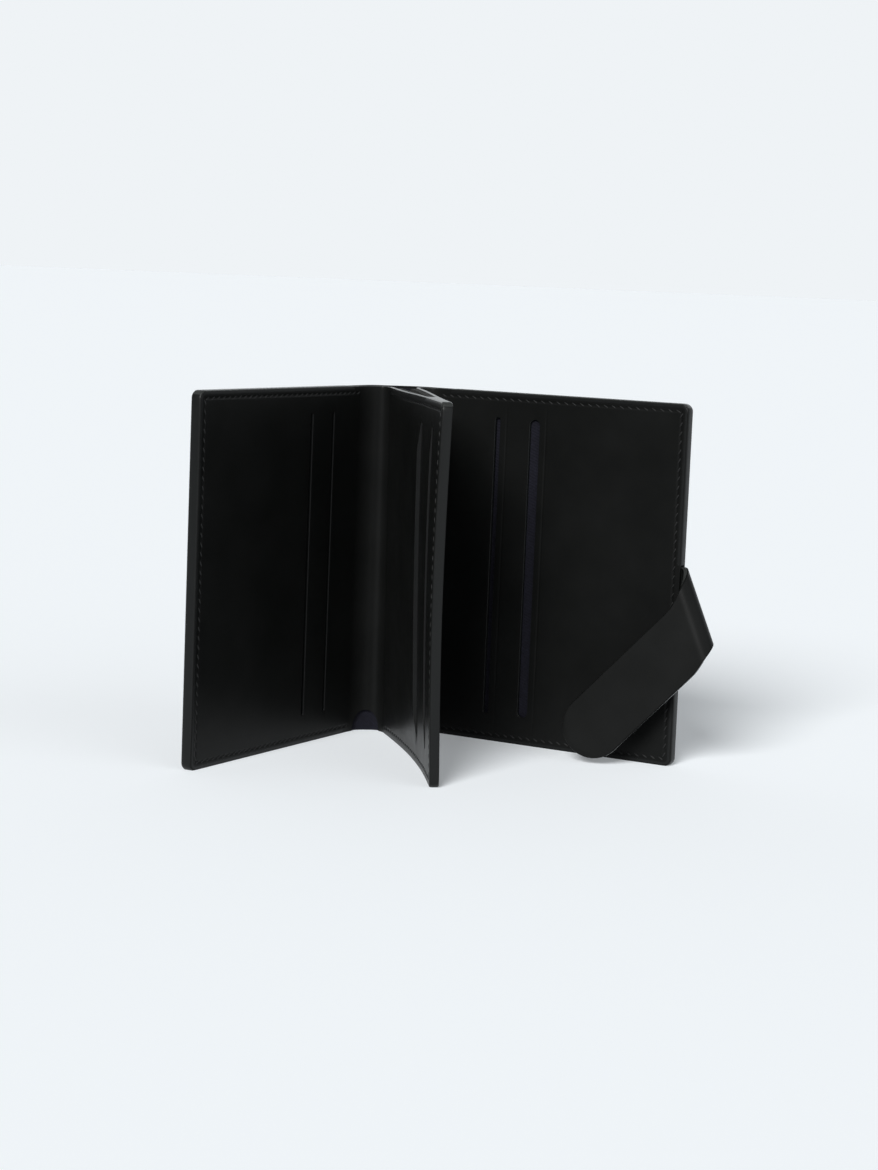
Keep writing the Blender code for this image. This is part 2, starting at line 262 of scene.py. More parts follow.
def inner_place(side, leaf):
    """Places the leather that lines a leaf, turns in the valley and covers the page's nearer face.

    u runs from the leaf's free edge (-WIDTH) through the fold (0) to the page's free edge (WIDTH), and
    depth runs into the leather. side is 1 on the left, and -1 on the right, where y is mirrored.
    """
    angle = angle_from_page(leaf)
    along = Vector((math.cos(angle), -math.sin(angle)))
    outwards = Vector((-math.sin(angle), -math.cos(angle)))
    hinge = Vector((0, -HALF_SPINE))
    side_face = page_front if side == 1 else (lambda x, z: -page_back(x, z))

    def face(x, z):
        return side_face(x, z) - page_lip(x, z)

    def place(u, depth, z):
        if u <= -VALLEY_LEAF:
            point = hinge - along * u + outwards * depth
        elif u >= VALLEY_PAGE:
            point = Vector((u, face(u, z) + depth))
        else:
            t = (u + VALLEY_LEAF) / (VALLEY_LEAF + VALLEY_PAGE)
            start, low = hinge + along * VALLEY_LEAF, hinge + along * VALLEY_FLOOR_LEAF
            high = Vector((VALLEY_FLOOR_PAGE, face(VALLEY_FLOOR_PAGE, z)))
            end = Vector((VALLEY_PAGE, face(VALLEY_PAGE, z)))
            point, tangent = valley_curve(start, low, high, end, t)
            point = point + Vector((-tangent.y, tangent.x)) * depth
        return Vector((point.x, side * point.y, z))

    return place


def outer_place(side, leaf):
    """Places the outside leather from a cover's free edge (-WIDTH), round the fold, to the spine's middle."""
    angle = angle_from_page(leaf)
    along = Vector((math.cos(angle), -math.sin(angle)))
    outwards = Vector((-math.sin(angle), -math.cos(angle)))
    hinge = Vector((0, -HALF_SPINE)) + outwards * COVER
    reach = (hinge.x - SPINE_FACE) / along.x
    corner = hinge - along * reach

    def place(u, depth, z):
        if u <= -SPINE_LEAF:
            point = hinge - along * u - outwards * depth
        elif u >= SPINE_TURN:
            share = (u - SPINE_TURN) / (HALF_SPINE - SPINE_TURN)
            point = Vector((SPINE_FACE + depth, mix(-HALF_SPINE + SPINE_TURN, 0, share)))
        else:
            t = (u + SPINE_LEAF) / (SPINE_LEAF + SPINE_TURN)
            curve = (hinge + along * SPINE_LEAF, corner, corner, (SPINE_FACE, -HALF_SPINE + SPINE_TURN))
            point, tangent = bezier(curve, t)
            point = point + Vector((tangent.y, -tangent.x)) * depth
        return Vector((point.x, side * point.y, z))

    return place


# ---------------------------------------------------------------- mesh tools


def spaced(low, high, step, extra=(), keep_out=()):
    """Numbers from low to high about a step apart, with the extra ones added, outside the keep_out spans."""
    count = max(1, round((high - low) / step))
    regular = [low + (high - low) * i / count for i in range(count + 1)]
    near = [v for v in regular[1:-1] if all(abs(v - e) > step / 3 for e in extra)]
    near = [v for v in near if all(not a < v < b for a, b in keep_out)]
    return sorted({low, high, *near, *extra})


def rim_steps(edge, inwards=1):
    """Lines at which a rounded rim is drawn, from the edge inwards."""
    return [edge + inwards * RIM * share for share in (0.08, 0.3, 0.62, 1)]


def rim_depth(gap, rim):
    """How far a rounded rim falls away at a distance gap from the outline."""
    return rim - math.sqrt(rim * rim - (rim - gap) ** 2) if gap < rim else 0


def grid_slab(columns, rows, corner, thickness, rim=0, open_sides=()):
    """A bmesh slab in (u, depth, z) with rounded rims and round corners at its free edges.

    corner(u) gives how far the outline is drawn in at column u. open_sides names the ends without a rim.
    """
    shape = bmesh.new()
    low, high = rows[0], rows[-1]
    half = (high - low) / 2
    layers = []
    for back in (False, True):
        grid = []
        for u in columns:
            drawn = corner(u)
            line = []
            for z in rows:
                near = min(z - low, high - z)
                moved = near + drawn * (1 - near / half)
                gaps = [near]
                if "low" not in open_sides:
                    gaps.append(edge_gap(u - columns[0], moved, near, drawn))
                if "high" not in open_sides:
                    gaps.append(edge_gap(columns[-1] - u, moved, near, drawn))
                fall = rim_depth(max(min(gaps), 0), rim) if rim else 0
                depth = thickness - fall if back else fall
                line.append(shape.verts.new((u, depth, low + moved if z - low <= half else high - moved)))
            grid.append(line)
        layers.append(grid)
    top, bottom = layers
    last_u, last_z = len(columns) - 1, len(rows) - 1
    for i in range(last_u):
        for j in range(last_z):
            for grid in layers:
                shape.faces.new((grid[i][j], grid[i + 1][j], grid[i + 1][j + 1], grid[i][j + 1]))
    ring = [(i, 0) for i in range(last_u)] + [(last_u, j) for j in range(last_z)]
    ring += [(i, last_z) for i in range(last_u, 0, -1)] + [(0, j) for j in range(last_z, 0, -1)]
    for (i, j), (m, n) in zip(ring, ring[1:] + ring[:1]):
        shape.faces.new((top[i][j], top[m][n], bottom[m][n], bottom[i][j]))
    bmesh.ops.recalc_face_normals(shape, faces=shape.faces)
    return shape


def edge_gap(aside, moved, near, drawn):
    """Distance to a free edge with round corners, from aside along u and moved along z."""
    if aside < CORNER and moved < CORNER:
        return CORNER - math.hypot(CORNER - aside, CORNER - moved)
    return min(aside, near + drawn)


def as_object(name, shape, *materials):
    mesh = bpy.data.meshes.new(name)
    shape.to_mesh(mesh)
    shape.free()
    obj = bpy.data.objects.new(name, mesh)
    bpy.context.scene.collection.objects.link(obj)
    for look in materials:
        mesh.materials.append(look)
    return obj


def stadium(x, width, low, high, steps=8):
    """Outline of a long slot with round ends."""
    radius = width / 2
    turns = [math.pi * i / steps for i in range(steps + 1)]
    head = [(x + radius * math.cos(a), high - radius + radius * math.sin(a)) for a in turns]
    foot = [(x - radius * math.cos(a), low + radius - radius * math.sin(a)) for a in turns]
    return head + foot


def prism(name, sections, wall, cap):
    """A closed prism lofted through outlines: each section is (depth, points)."""
    shape = bmesh.new()
    loops = [[shape.verts.new((x, depth, z)) for x, z in points] for depth, points in sections]
    for first, second in zip(loops, loops[1:]):
        for i in range(len(first)):
            k = (i + 1) % len(first)
            shape.faces.new((first[i], first[k], second[k], second[i]))
    shape.faces.new(loops[0])
    shape.faces.new(loops[-1]).material_index = 1
    bmesh.ops.recalc_face_normals(shape, faces=shape.faces)
    return as_object(name, shape, wall, cap)


def slot_cutter(x, width, depth):
    """Cuts a slot with a softly flared rim down to depth, where the lining shows."""
    def outline(grow):
        return stadium(x, width + 2 * grow, SLOT_LOW - grow, SLOT_HIGH + grow)

    sections = [
        (-1, outline(1.5 * SLOT_RIM)),
        (0, outline(SLOT_RIM)),
        (0.3 * SLOT_RIM, outline(0.4 * SLOT_RIM)),
        (SLOT_RIM, outline(0)),
        (depth, outline(0)),
    ]
    return prism("slot_cutter", sections, EDGE, TWILL)


def apply_modifiers(obj):
    graph = bpy.context.evaluated_depsgraph_get()
    mesh = bpy.data.meshes.new_from_object(obj.evaluated_get(graph))
    obj.modifiers.clear()
    obj.data = mesh


def cut(obj, cutters):
    """Cuts each cutter from obj and removes the cutters."""
    for cutter in cutters:
        modifier = obj.modifiers.new("cut", "BOOLEAN")
        modifier.object = cutter
        modifier.solver = "EXACT"
        modifier.material_mode = "TRANSFER"
    apply_modifiers(obj)
    for cutter in cutters:
        bpy.data.objects.remove(cutter)


def even_shading(obj):
    """Smooth shading that keeps broad faces flat and real corners sharp."""
    obj.data.shade_smooth()
    obj.data.set_sharp_from_angle(angle=SHARP_SKIN)
    modifier = obj.modifiers.new("even_shading", "WEIGHTED_NORMAL")
    modifier.keep_sharp = True
    apply_modifiers(obj)


def bend_to(obj, place):
    """Moves each point of obj from (u, depth, z) to its place in the wallet, in metres."""
    shape = bmesh.new()
    shape.from_mesh(obj.data)
    bmesh.ops.remove_doubles(shape, verts=shape.verts, dist=1e-4)
    bmesh.ops.triangulate(shape, faces=[f for f in shape.faces if len(f.verts) > 4])
    for vert in shape.verts:
        vert.co = PAGE @ (place(*vert.co) * MM)
    bmesh.ops.recalc_face_normals(shape, faces=shape.faces)
    shape.to_mesh(obj.data)
    shape.free()
    even_shading(obj)


def corner_of(radius, *free_edges):
    """How far a rounded outline is drawn in at distance u, for free edges at those u."""
    def drawn(u):
        over = max(radius - abs(u - edge) for edge in free_edges)
        return radius - math.sqrt(radius**2 - over**2) if over > 0 else 0

    return drawn


def across_groove(middle, half, reach):
    """Positions across a groove, out to reach times its half width."""
    return [middle + half * k for k in (-reach, -1, -0.5, 0, 0.5, 1, reach)]


def corner_columns(edge):
    """Columns that follow the round corner at a free edge."""
    inwards = -1 if edge > 0 else 1
    turns = [edge + inwards * CORNER * (1 - math.sin(math.radians(a))) for a in (0, 20, 40, 55, 65)]
    return turns + rim_steps(edge, inwards)


def groove_lines(edge):
    """Positions across the seam's groove that runs beside an edge."""
    inwards = -1 if edge > 0 else 1
    return across_groove(edge + inwards * SEAM_INSET, GROOVE_HALF, 1.2)


def crease_lines(crease):
    return across_groove(crease, CREASE_HALF, 1.3)


def hollow(off, half, depth):
    """A soft groove's depth at a distance off from its middle."""
    return depth * math.cos(math.pi * off / (2 * half)) ** 2 if abs(off) < half else 0


def pressed(u, z, edges):
    """Depth of the seam's groove at (u, z) on a face whose free edges are at u = edges."""
    if abs(u) < SEAM_START:
        return 0
    side = min(abs(u - edge) for edge in edges)
    return hollow(min(side, z, HEIGHT - z) - SEAM_INSET, GROOVE_HALF, GROOVE_DEPTH)


def press(obj, edges, creases=()):
    """Presses the seam's groove and the creases into the visible face, before it is bent to its place."""
    for vert in obj.data.vertices:
        u, depth, z = vert.co
        if depth > 0.02:
            continue
        vert.co.y = depth + pressed(u, z, edges)
        for crease in creases:
            fade = smooth(z, CREASE_LOW - 3, CREASE_LOW) * smooth(CREASE_HIGH + 3 - z, 0, 3)
            vert.co.y += fade * hollow(u - crease, CREASE_HALF, CREASE_DEPTH)


# ---------------------------------------------------------------- materials


def shader_of(name, color, roughness, **sockets):
    """A new material, its node tree and its shader, with the shader's other sockets set by name."""
    look = bpy.data.materials.new(name)
    look.use_nodes = True
    shader = look.node_tree.nodes["Principled BSDF"]
    shader.inputs["Base Color"].default_value = (*color, 1)
    shader.inputs["Roughness"].default_value = roughness
    for socket, value in sockets.items():
        shader.inputs[socket.replace("_", " ")].default_value = value
    return look, look.node_tree, shader


def texture(tree, kind, scale):
    """A texture node in the object's own coordinates, whose scale is in turns a metre."""
    coordinates = tree.nodes.new("ShaderNodeTexCoord")
    node = tree.nodes.new(kind)
    node.inputs["Scale"].default_value = scale
    tree.links.new(coordinates.outputs["Object"], node.inputs["Vector"])
    return node


def noise(tree, scale, detail):
    node = texture(tree, "ShaderNodeTexNoise", scale)
    node.inputs["Detail"].default_value = detail
    return node.outputs["Fac"]


def spread(tree, value, low, high):
    """Maps a 0 to 1 value onto low to high."""
    node = tree.nodes.new("ShaderNodeMapRange")
    node.inputs["To Min"].default_value = low
    node.inputs["To Max"].default_value = high
    tree.links.new(value, node.inputs["Value"])
    return node.outputs["Result"]


def tint(tree, value, low, high):
    """A colour between low and high."""
    ramp = tree.nodes.new("ShaderNodeValToRGB")
    ramp.color_ramp.elements[0].position = 0.35
    ramp.color_ramp.elements[1].position = 0.7
    ramp.color_ramp.elements[0].color = (*low, 1)
    ramp.color_ramp.elements[1].color = (*high, 1)
    tree.links.new(value, ramp.inputs["Fac"])
    return ramp.outputs["Color"]


def bump(tree, shader, *layers):
    """Stacks bumps on the shader's normal: each layer is (height, strength, distance in metres)."""
    normal = None
    for height, strength, distance in layers:
        node = tree.nodes.new("ShaderNodeBump")
        node.inputs["Strength"].default_value = strength
        node.inputs["Distance"].default_value = distance
        tree.links.new(height, node.inputs["Height"])
        if normal:
            tree.links.new(normal, node.inputs["Normal"])
        normal = node.outputs["Normal"]
    tree.links.new(normal, shader.inputs["Normal"])


def leather_look():
    """Smooth box calf: a fine grain, a soft gloss that varies a little, and faint waves."""
    look, tree, shader = shader_of("box_calf", (0.0053, 0.0056, 0.0054), 0.38, Specular_IOR_Level=0.09)
    color = tint(tree, noise(tree, 55, 3), (0.0046, 0.0049, 0.0047), (0.0064, 0.0067, 0.0065))
    tree.links.new(color, shader.inputs["Base Color"])
    tree.links.new(spread(tree, noise(tree, 160, 4), 0.32, 0.44), shader.inputs["Roughness"])
    pores = texture(tree, "ShaderNodeTexVoronoi", 3300)
    bump(
        tree,
        shader,
        (noise(tree, 70, 1), 0.1, 0.0004),
        (noise(tree, 2600, 3), 0.18, 0.00006),
        (pores.outputs["Distance"], 0.12, 0.00005),
    )
    return look


def edge_look():
    """Painted and burnished edges: smoother than the leather, with faint lines along the layers."""
    look, tree, shader = shader_of("edge_paint", (0.0055, 0.006, 0.006), 0.36, Specular_IOR_Level=0.18)
    tree.links.new(spread(tree, noise(tree, 420, 3), 0.3, 0.46), shader.inputs["Roughness"])
    bump(tree, shader, (noise(tree, 500, 3), 0.2, 0.0001), (noise(tree, 2600, 2), 0.15, 0.00004))
    return look


def edge_highlight_look():
    """Edge paint, glossier than the plain edges, whose lighter colour is a painted highlight: on the strap's
    sides, the upward faces of the painted edges and the rims of the leaves' heads.
    """
    look, tree, shader = shader_of("edge_paint_painted_highlight", (0.03, 0.032, 0.031), 0.26, Specular_IOR_Level=0.5)
    tree.links.new(spread(tree, noise(tree, 600, 3), 0.18, 0.34), shader.inputs["Roughness"])
    bump(tree, shader, (noise(tree, 1800, 3), 0.2, 0.00005))
    return look


def lining_look():
    """Navy twill seen in the slots and at the foot of the spine."""
    finish = {"Sheen_Weight": 0.01, "Specular_IOR_Level": 0.2}
    look, tree, shader = shader_of("navy_twill", (0.0042, 0.0043, 0.0085), 0.85, **finish)
    weave = texture(tree, "ShaderNodeTexWave", 700)
    weave.wave_type = "BANDS"
    weave.bands_direction = "DIAGONAL"
    weave.inputs["Distortion"].default_value = 0.4
    color = tint(tree, noise(tree, 900, 3), (0.003, 0.003, 0.0065), (0.0052, 0.0053, 0.0105))
    tree.links.new(color, shader.inputs["Base Color"])
    bump(tree, shader, (weave.outputs["Fac"], 0.5, 0.0001), (noise(tree, 3000, 2), 0.3, 0.00005))
    return look


def thread_look():
    """Waxed black thread with a sheen along its twist."""
    look, tree, shader = shader_of("waxed_thread", (0.0075, 0.008, 0.008), 0.55, Specular_IOR_Level=0.3)
    tree.links.new(spread(tree, noise(tree, 1500, 2), 0.48, 0.66), shader.inputs["Roughness"])
    bump(tree, shader, (noise(tree, 4200, 2), 0.5, 0.00008))
    return look


def metal_look():
    """Gunmetal plating on the press stud."""
    look, tree, shader = shader_of("gunmetal", (0.2, 0.19, 0.18), 0.25, Metallic=1.0)
    tree.links.new(spread(tree, noise(tree, 900, 3), 0.18, 0.36), shader.inputs["Roughness"])
    bump(tree, shader, (noise(tree, 2200, 2), 0.1, 0.00003))
    return look


def board_look():
    """Bonded board inside the covers."""
    look, tree, shader = shader_of("bonded_board", (0.07, 0.062, 0.055), 0.85)
    color = tint(tree, noise(tree, 1200, 4), (0.05, 0.045, 0.04), (0.09, 0.08, 0.07))
    tree.links.new(color, shader.inputs["Base Color"])
    bump(tree, shader, (noise(tree, 1500, 3), 0.3, 0.0001))
    return look


def raw_look():
    """Raw flesh side of black leather, fibrous and dull."""
    look, tree, shader = shader_of("raw_fibre", (0.02, 0.02, 0.019), 0.95, Specular_IOR_Level=0.2)
    color = tint(tree, noise(tree, 2500, 4), (0.008, 0.008, 0.008), (0.05, 0.05, 0.047))
    tree.links.new(color, shader.inputs["Base Color"])
    bump(tree, shader, (noise(tree, 2200, 3), 0.6, 0.0002))
    return look


CALF, EDGE, TWILL, RAW = leather_look(), edge_look(), lining_look(), raw_look()
# Lighter edge paint: a painted highlight on upward faces and on the strap's sides
EDGE_HIGHLIGHT = edge_highlight_look()
THREAD, METAL, BOARD = thread_look(), metal_look(), board_look()


# ---------------------------------------------------------------- leather


def leaf_rows(slotted=True):
    keep_out = ((SLOT_LOW - 1, SLOT_LOW + 2.2), (SLOT_HIGH - 2.2, SLOT_HIGH + 1)) if slotted else ()
    extra = rim_steps(0) + rim_steps(HEIGHT, -1)
    extra += across_groove(SEAM_INSET, GROOVE_HALF, 1.2)
    extra += across_groove(HEIGHT - SEAM_INSET, GROOVE_HALF, 1.2)
    return spaced(0, HEIGHT, 5, extra, keep_out)


def slot_spans(slots, sign=1):
    return [(sign * x - width, sign * x + width) for x, width in slots]


def paint_head_highlight(obj):
    """Paints a highlight on the upward rim along a leaf's head, using the lighter edge paint."""
    obj.data.materials.append(EDGE_HIGHLIGHT)
    for face in obj.data.polygons:
        if face.normal.z > 0.5 and face.center.z > (HEIGHT - 2) * MM:
            face.material_index = len(obj.data.materials) - 1


def blend_to_page(obj, cover_body, side, outer, inner):
    """Bakes a piece's transform into its mesh."""
    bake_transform(obj)


def inner_leather(name, side, leaf, slots, creases, cover_body, nodes):
    """One skin from a cover's free edge, through the valley, to the page's free edge."""
    extra = groove_lines(-WIDTH) + groove_lines(WIDTH) + corner_columns(-WIDTH) + corner_columns(WIDTH)
    for crease in creases:
        extra += crease_lines(-crease)
    spans = slot_spans(slots, -1) + slot_spans(PAGE_SLOTS)
    fine = spaced(-VALLEY_LEAF, VALLEY_PAGE + 2, 0.6)
    on_leaf = spaced(-WIDTH, -VALLEY_LEAF, 4, [e for e in extra if e < 0], spans)
    on_page = spaced(VALLEY_PAGE + 2, WIDTH, 3.5, [e for e in extra if e > 0], spans)
    columns = sorted(set(on_leaf) | set(fine) | set(on_page))
    slab = grid_slab(columns, leaf_rows(), corner_of(CORNER, -WIDTH, WIDTH), PANEL, RIM)
    obj = as_object(name, slab, CALF)
    press(obj, (-WIDTH, WIDTH), [-crease for crease in creases])
    cutters = [slot_cutter(-x, width, 2) for x, width in slots]
    cutters += [slot_cutter(x, width, PAGE_SLOT_DEPTH) for x, width in PAGE_SLOTS]
    if side == 1:
        arch = [math.pi * i / 16 for i in range(17)]
        notch = [(NOTCH_MIDDLE + NOTCH_HALF * math.cos(a), NOTCH_HEIGHT * math.sin(a)) for a in arch]
        notch += [(NOTCH_MIDDLE - NOTCH_HALF, -2), (NOTCH_MIDDLE + NOTCH_HALF, -2)]
        cutters.append(prism("notch_cutter", [(-2, notch), (3, notch)], EDGE, EDGE))
    cut(obj, cutters)
    bend_to(obj, inner_place(side, leaf))
    # Painted highlight along the rim of the head
    paint_head_highlight(obj)
    blend_to_page(obj, cover_body, side, *VALLEY_BLEND)
    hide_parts(*nodes)


def outer_leather(name, side, leaf, cover_body, nodes):
    """The outside skin of a cover and its half of the spine."""
    extra = groove_lines(-WIDTH) + corner_columns(-WIDTH)
    fine = spaced(-SPINE_LEAF, HALF_SPINE, 0.6)
    columns = sorted(set(spaced(-WIDTH, -SPINE_LEAF, 4, extra)) | set(fine))
    slab = grid_slab(columns, leaf_rows(False), corner_of(CORNER, -WIDTH), SKIN, RIM, ("high",))
    obj = as_object(name, slab, CALF)
    press(obj, (-WIDTH,))
    bend_to(obj, outer_place(side, leaf))
    blend_to_page(obj, cover_body, side, *SPINE_BLEND)
    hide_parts(*nodes)


def edge_profile(half):
    """Section of a painted edge as (across, out): it wraps over both faces and is rounded between them."""
    side = half + EDGE_COAT
    profile = [(side, -EDGE_WRAP - EDGE_ROUND), (side, -EDGE_ROUND + EDGE_BULGE)]
    for degrees in (25, 50, 70, 90):
        turn = math.radians(degrees)
        out = EDGE_BULGE - EDGE_ROUND * (1 - math.sin(turn))
        profile.append((side - EDGE_ROUND * (1 - math.cos(turn)), out))
    return [(-across, out) for across, out in profile] + profile[::-1]


def free_outline(foot_start, head_start, rows):
    """A leaf's foot, free edge and head as (x, z, outward x, outward z)."""
    turn = [math.radians(a) for a in range(15, 90, 15)]
    bend = [
        (WIDTH - CORNER * (1 - math.sin(a)), CORNER * (1 - math.cos(a)), math.sin(a), -math.cos(a))
        for a in turn
    ]
    foot = [(x, 0, 0, -1) for x in spaced(foot_start, WIDTH - CORNER, 2)] + bend
    head = [(x, 0, 0, -1) for x in spaced(head_start, WIDTH - CORNER, 2)] + bend
    head = [(x, HEIGHT - z, nx, -nz) for x, z, nx, nz in reversed(head)]
    return foot + [(WIDTH, z, 1, 0) for z in rows] + head


def edge_strip(name, body, face_low, face_high, place, gap=None, head_start=EDGE_START):
    """The painted edge between two skins, along a leaf's foot, free edge and head.

    face_low and face_high give the strip's two sides at (x, z), and place puts (x, across, z).
    """
    rows = spaced(CORNER, HEIGHT - CORNER, 3, gap or ())
    shape = bmesh.new()
    runs, current = [], []
    for x, z, nx, nz in free_outline(EDGE_START, head_start, rows):
        if gap and nx == 1 and gap[0] < z < gap[1]:
            if current:
                runs.append(current)
            current = []
            continue
        low, high = face_low(x, z), face_high(x, z)
        loop = []
        start = EDGE_START if z < HEIGHT / 2 else head_start
        sink = 0.8 * (1 - smooth(x, start, start + 5))
        for across, out in edge_profile((high - low) / 2 - sink / 4):
            out -= sink
            point = place(x + nx * out, (low + high) / 2 + across, z + nz * out)
            loop.append(shape.verts.new(PAGE @ (point * MM)))
        current.append(loop)
    runs.append(current)
    for run in runs:
        for first, second in zip(run, run[1:]):
            for i in range(len(first)):
                k = (i + 1) % len(first)
                shape.faces.new((first[i], first[k], second[k], second[i]))
        shape.faces.new(run[0])
        shape.faces.new(run[-1])
    bmesh.ops.recalc_face_normals(shape, faces=shape.faces)
    shape.normal_update()
    # Upward faces take the lighter edge paint, a painted highlight
    for face in shape.faces:
        face.material_index = 1 if face.normal.z > 0.5 else 0
    obj = as_object(name, shape, EDGE, EDGE_HIGHLIGHT)
    obj.data.shade_smooth()
    obj.data.set_sharp_from_angle(angle=SHARP_EDGE)
    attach(obj, body)


# ---------------------------------------------------------------- stitches


def capsule():
    """One stitch along x: a short round thread whose ends dive into the leather."""
    shape = bmesh.new()
    bmesh.ops.create_uvsphere(shape, u_segments=10, v_segments=8, radius=1)
    for vert in shape.verts:
        x, y, z = vert.co
        length = STITCH_LENGTH / 2 * math.copysign(abs(z) ** 0.75, z)
        vert.co = Vector((length, y * STITCH_RADIUS, x * STITCH_RADIUS))
    mesh = bpy.data.meshes.new("stitch")
    shape.to_mesh(mesh)
    shape.free()
    return mesh


def seam_points(edge, start=SEAM_START):
    """Where each stitch sits along a leaf's foot, free edge and head: (u, z, direction along u, along z)."""
    sign = 1 if edge > 0 else -1
    reach = WIDTH - SEAM_INSET
    low, high = SEAM_INSET, HEIGHT - SEAM_INSET
    across = spaced(start, reach - 1, STITCH_PITCH)
    upright = spaced(low + 1.2, high - 1.2, STITCH_PITCH)
    points = [(sign * x, low, sign, 0) for x in across]
    points += [(sign * reach, z, 0, 1) for z in upright]
    points += [(sign * x, high, -sign, 0) for x in reversed(across)]
    return points


def stitches(name, body, edge, place, slant, nodes=()):
    """A seam of separate slanted stitches on the face that place gives."""
    thread = capsule()
    shape = bmesh.new()
    for u, z, du, dz in seam_points(edge):
        here = place(u, GROOVE_DEPTH - 0.08, z)
        along_u = (place(u + 0.5, 0, z) - place(u - 0.5, 0, z)).normalized()
        along_z = (place(u, 0, min(z + 0.5, HEIGHT)) - place(u, 0, z - 0.5)).normalized()
        normal = along_u.cross(along_z).normalized()
        direction = along_u * du + along_z * dz
        turn = Matrix.Rotation(slant, 3, normal)
        x_axis = (turn @ direction).normalized()
        y_axis = normal.cross(x_axis)
        rotation = Matrix((x_axis, y_axis, normal)).transposed().to_4x4()
        first = len(shape.verts)
        shape.from_mesh(thread)
        shape.verts.ensure_lookup_table()
        for vert in shape.verts[first:]:
            vert.co = PAGE @ ((here + rotation.to_3x3() @ vert.co) * MM)
    bmesh.ops.recalc_face_normals(shape, faces=shape.faces)
    obj = as_object(name, shape, THREAD)
    obj.data.shade_smooth()
    bpy.data.meshes.remove(thread)
    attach(obj, body)
    if nodes:
        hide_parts(*nodes)


# ---------------------------------------------------------------- strap


def strap_frame():
    """The fold's frame: x out of the cover, y the cover's outward way and z up along the leaning fold."""
    leaf = RIGHT.to_3x3()
    out, back = leaf.col[0], leaf.col[1]
    x_axis = out * math.cos(STRAP_LEAN) + UP * math.sin(STRAP_LEAN)
    z_axis = UP * math.cos(STRAP_LEAN) - out * math.sin(STRAP_LEAN)
    frame_matrix = Matrix((x_axis, back, z_axis)).transposed().to_4x4()
    frame_matrix.translation = Vector(JOINTS["strap_fold"]["pos_m"]) + leaf @ (Vector(STRAP_SHIFT) * MM)
    return frame_matrix


def strap_place(x, depth, across):
    """Rolls the flat strap round its fold: x is measured from the fold line, square to it."""
    root = 1 - smooth(x, ROOT_END, RUN_START)
    across = across * (1 + STRAP_FLARE * root)
    z = (across - x * math.sin(STRAP_LEAN)) / math.cos(STRAP_LEAN) + STRAP_LIFT * root
    bend = STRAP_RADIUS * STRAP_FOLD
    radius = STRAP_RADIUS - depth * mix(TAB_THICK, STRAP_THICK, smooth(x, -3, 2))
    turn = min(max(x, 0), bend) / STRAP_RADIUS
    beyond = min(x, 0) + max(x - bend, 0)
    out, back = math.cos(turn), -math.sin(turn)
    return Vector((radius * math.sin(turn) + out * beyond, radius * math.cos(turn) + back * beyond, z))


def strap_slab(name, start, end, steps, end_round, open_sides):
    """A stretch of the strap in (x, depth, across), from x = start to x = end or to its round end."""
    rows = [STRAP_HALF * math.sin(math.radians(a)) for a in range(-90, 91, 9)]
    columns = [i / steps for i in range(steps + 1)]
    shape = grid_slab(columns, rows, lambda u: 0, 2, 0, open_sides)
    for vert in shape.verts:
        share, depth, across = vert.co
        last = end
        if end_round:
            along = STRAP_REACH + math.sqrt(max(STRAP_HALF**2 - across**2, 0))
            last = along * math.cos(STRAP_LEAN) + across * math.sin(STRAP_LEAN)
        vert.co = (mix(start, last, share), depth - 1, across)
    shape.normal_update()
    rim = []
    for edge in shape.edges:
        a, b = (v.co for v in edge.verts)
        flat = abs(a.y - b.y) < 0.1
        at_side = max(abs(abs(a.z) - STRAP_HALF), abs(abs(b.z) - STRAP_HALF)) < 1e-4
        long_side = at_side and a.z * b.z > 0
        if flat and long_side:
            rim.append(edge)
        elif flat and end_round and edge.is_manifold and min(a.x, b.x) > start + 1:
            one, other = (abs(face.normal.y) > 0.5 for face in edge.link_faces)
            if one != other:
                rim.append(edge)
    # The sides take the lighter edge paint, a painted highlight along the strap's edges
    for face in shape.faces:
        face.material_index = 1 if abs(face.normal.y) < 0.5 else 0
    bmesh.ops.bevel(shape, geom=rim, offset=0.3, segments=3, profile=0.5, affect="EDGES")
    return as_object(name, shape, CALF, EDGE_HIGHLIGHT)


def strap():
    """The strap in two pieces that meet on its short first stretch past the fold."""
    fold = strap_frame()
    bend = STRAP_RADIUS * STRAP_FOLD
    pieces = (
        ("strap_bend_leather", -STRAP_ROOT, bend + STRAP_SEAM, 36, False, ("low", "high")),
        ("strap_run_leather", bend + STRAP_SEAM, 0, 26, True, ("low",)),
    )
    made = []
    for name, start, end, steps, end_round, open_sides in pieces:
        obj = strap_slab(name, start, end, steps, end_round, open_sides)
        shape = bmesh.new()
        shape.from_mesh(obj.data)
        for vert in shape.verts:
            vert.co = fold @ (strap_place(*vert.co) * MM)
        bmesh.ops.recalc_face_normals(shape, faces=shape.faces)
        shape.to_mesh(obj.data)
        shape.free()
        obj.data.shade_smooth()
        obj.data.set_sharp_from_angle(angle=SHARP_STRAP)
        made.append(obj)
    first, second = made
    top = fold @ (strap_place(0, 0, 0) * MM)
    bottom = fold @ (strap_place(bend, 0, 0) * MM)
    across_fold = (bottom - top).project(fold.to_3x3().col[1])
    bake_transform(first)
    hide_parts("strap_tab", "strap_root_leather", "strap_root_lining")
    near = fold @ (strap_place(bend + FLEX_START, 0, 0) * MM)
    far = fold @ (strap_place(bend + FLEX_END, 0, 0) * MM)
    run = Vector((math.cos(STRAP_FOLD), -math.sin(STRAP_FOLD), 0))
    run = (fold.to_3x3() @ run).normalized()
    near + (far - near).project(run)
    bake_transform(second)
    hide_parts("strap_outer_leather", "strap_core", "strap_lining_leather")


# ---------------------------------------------------------------- building


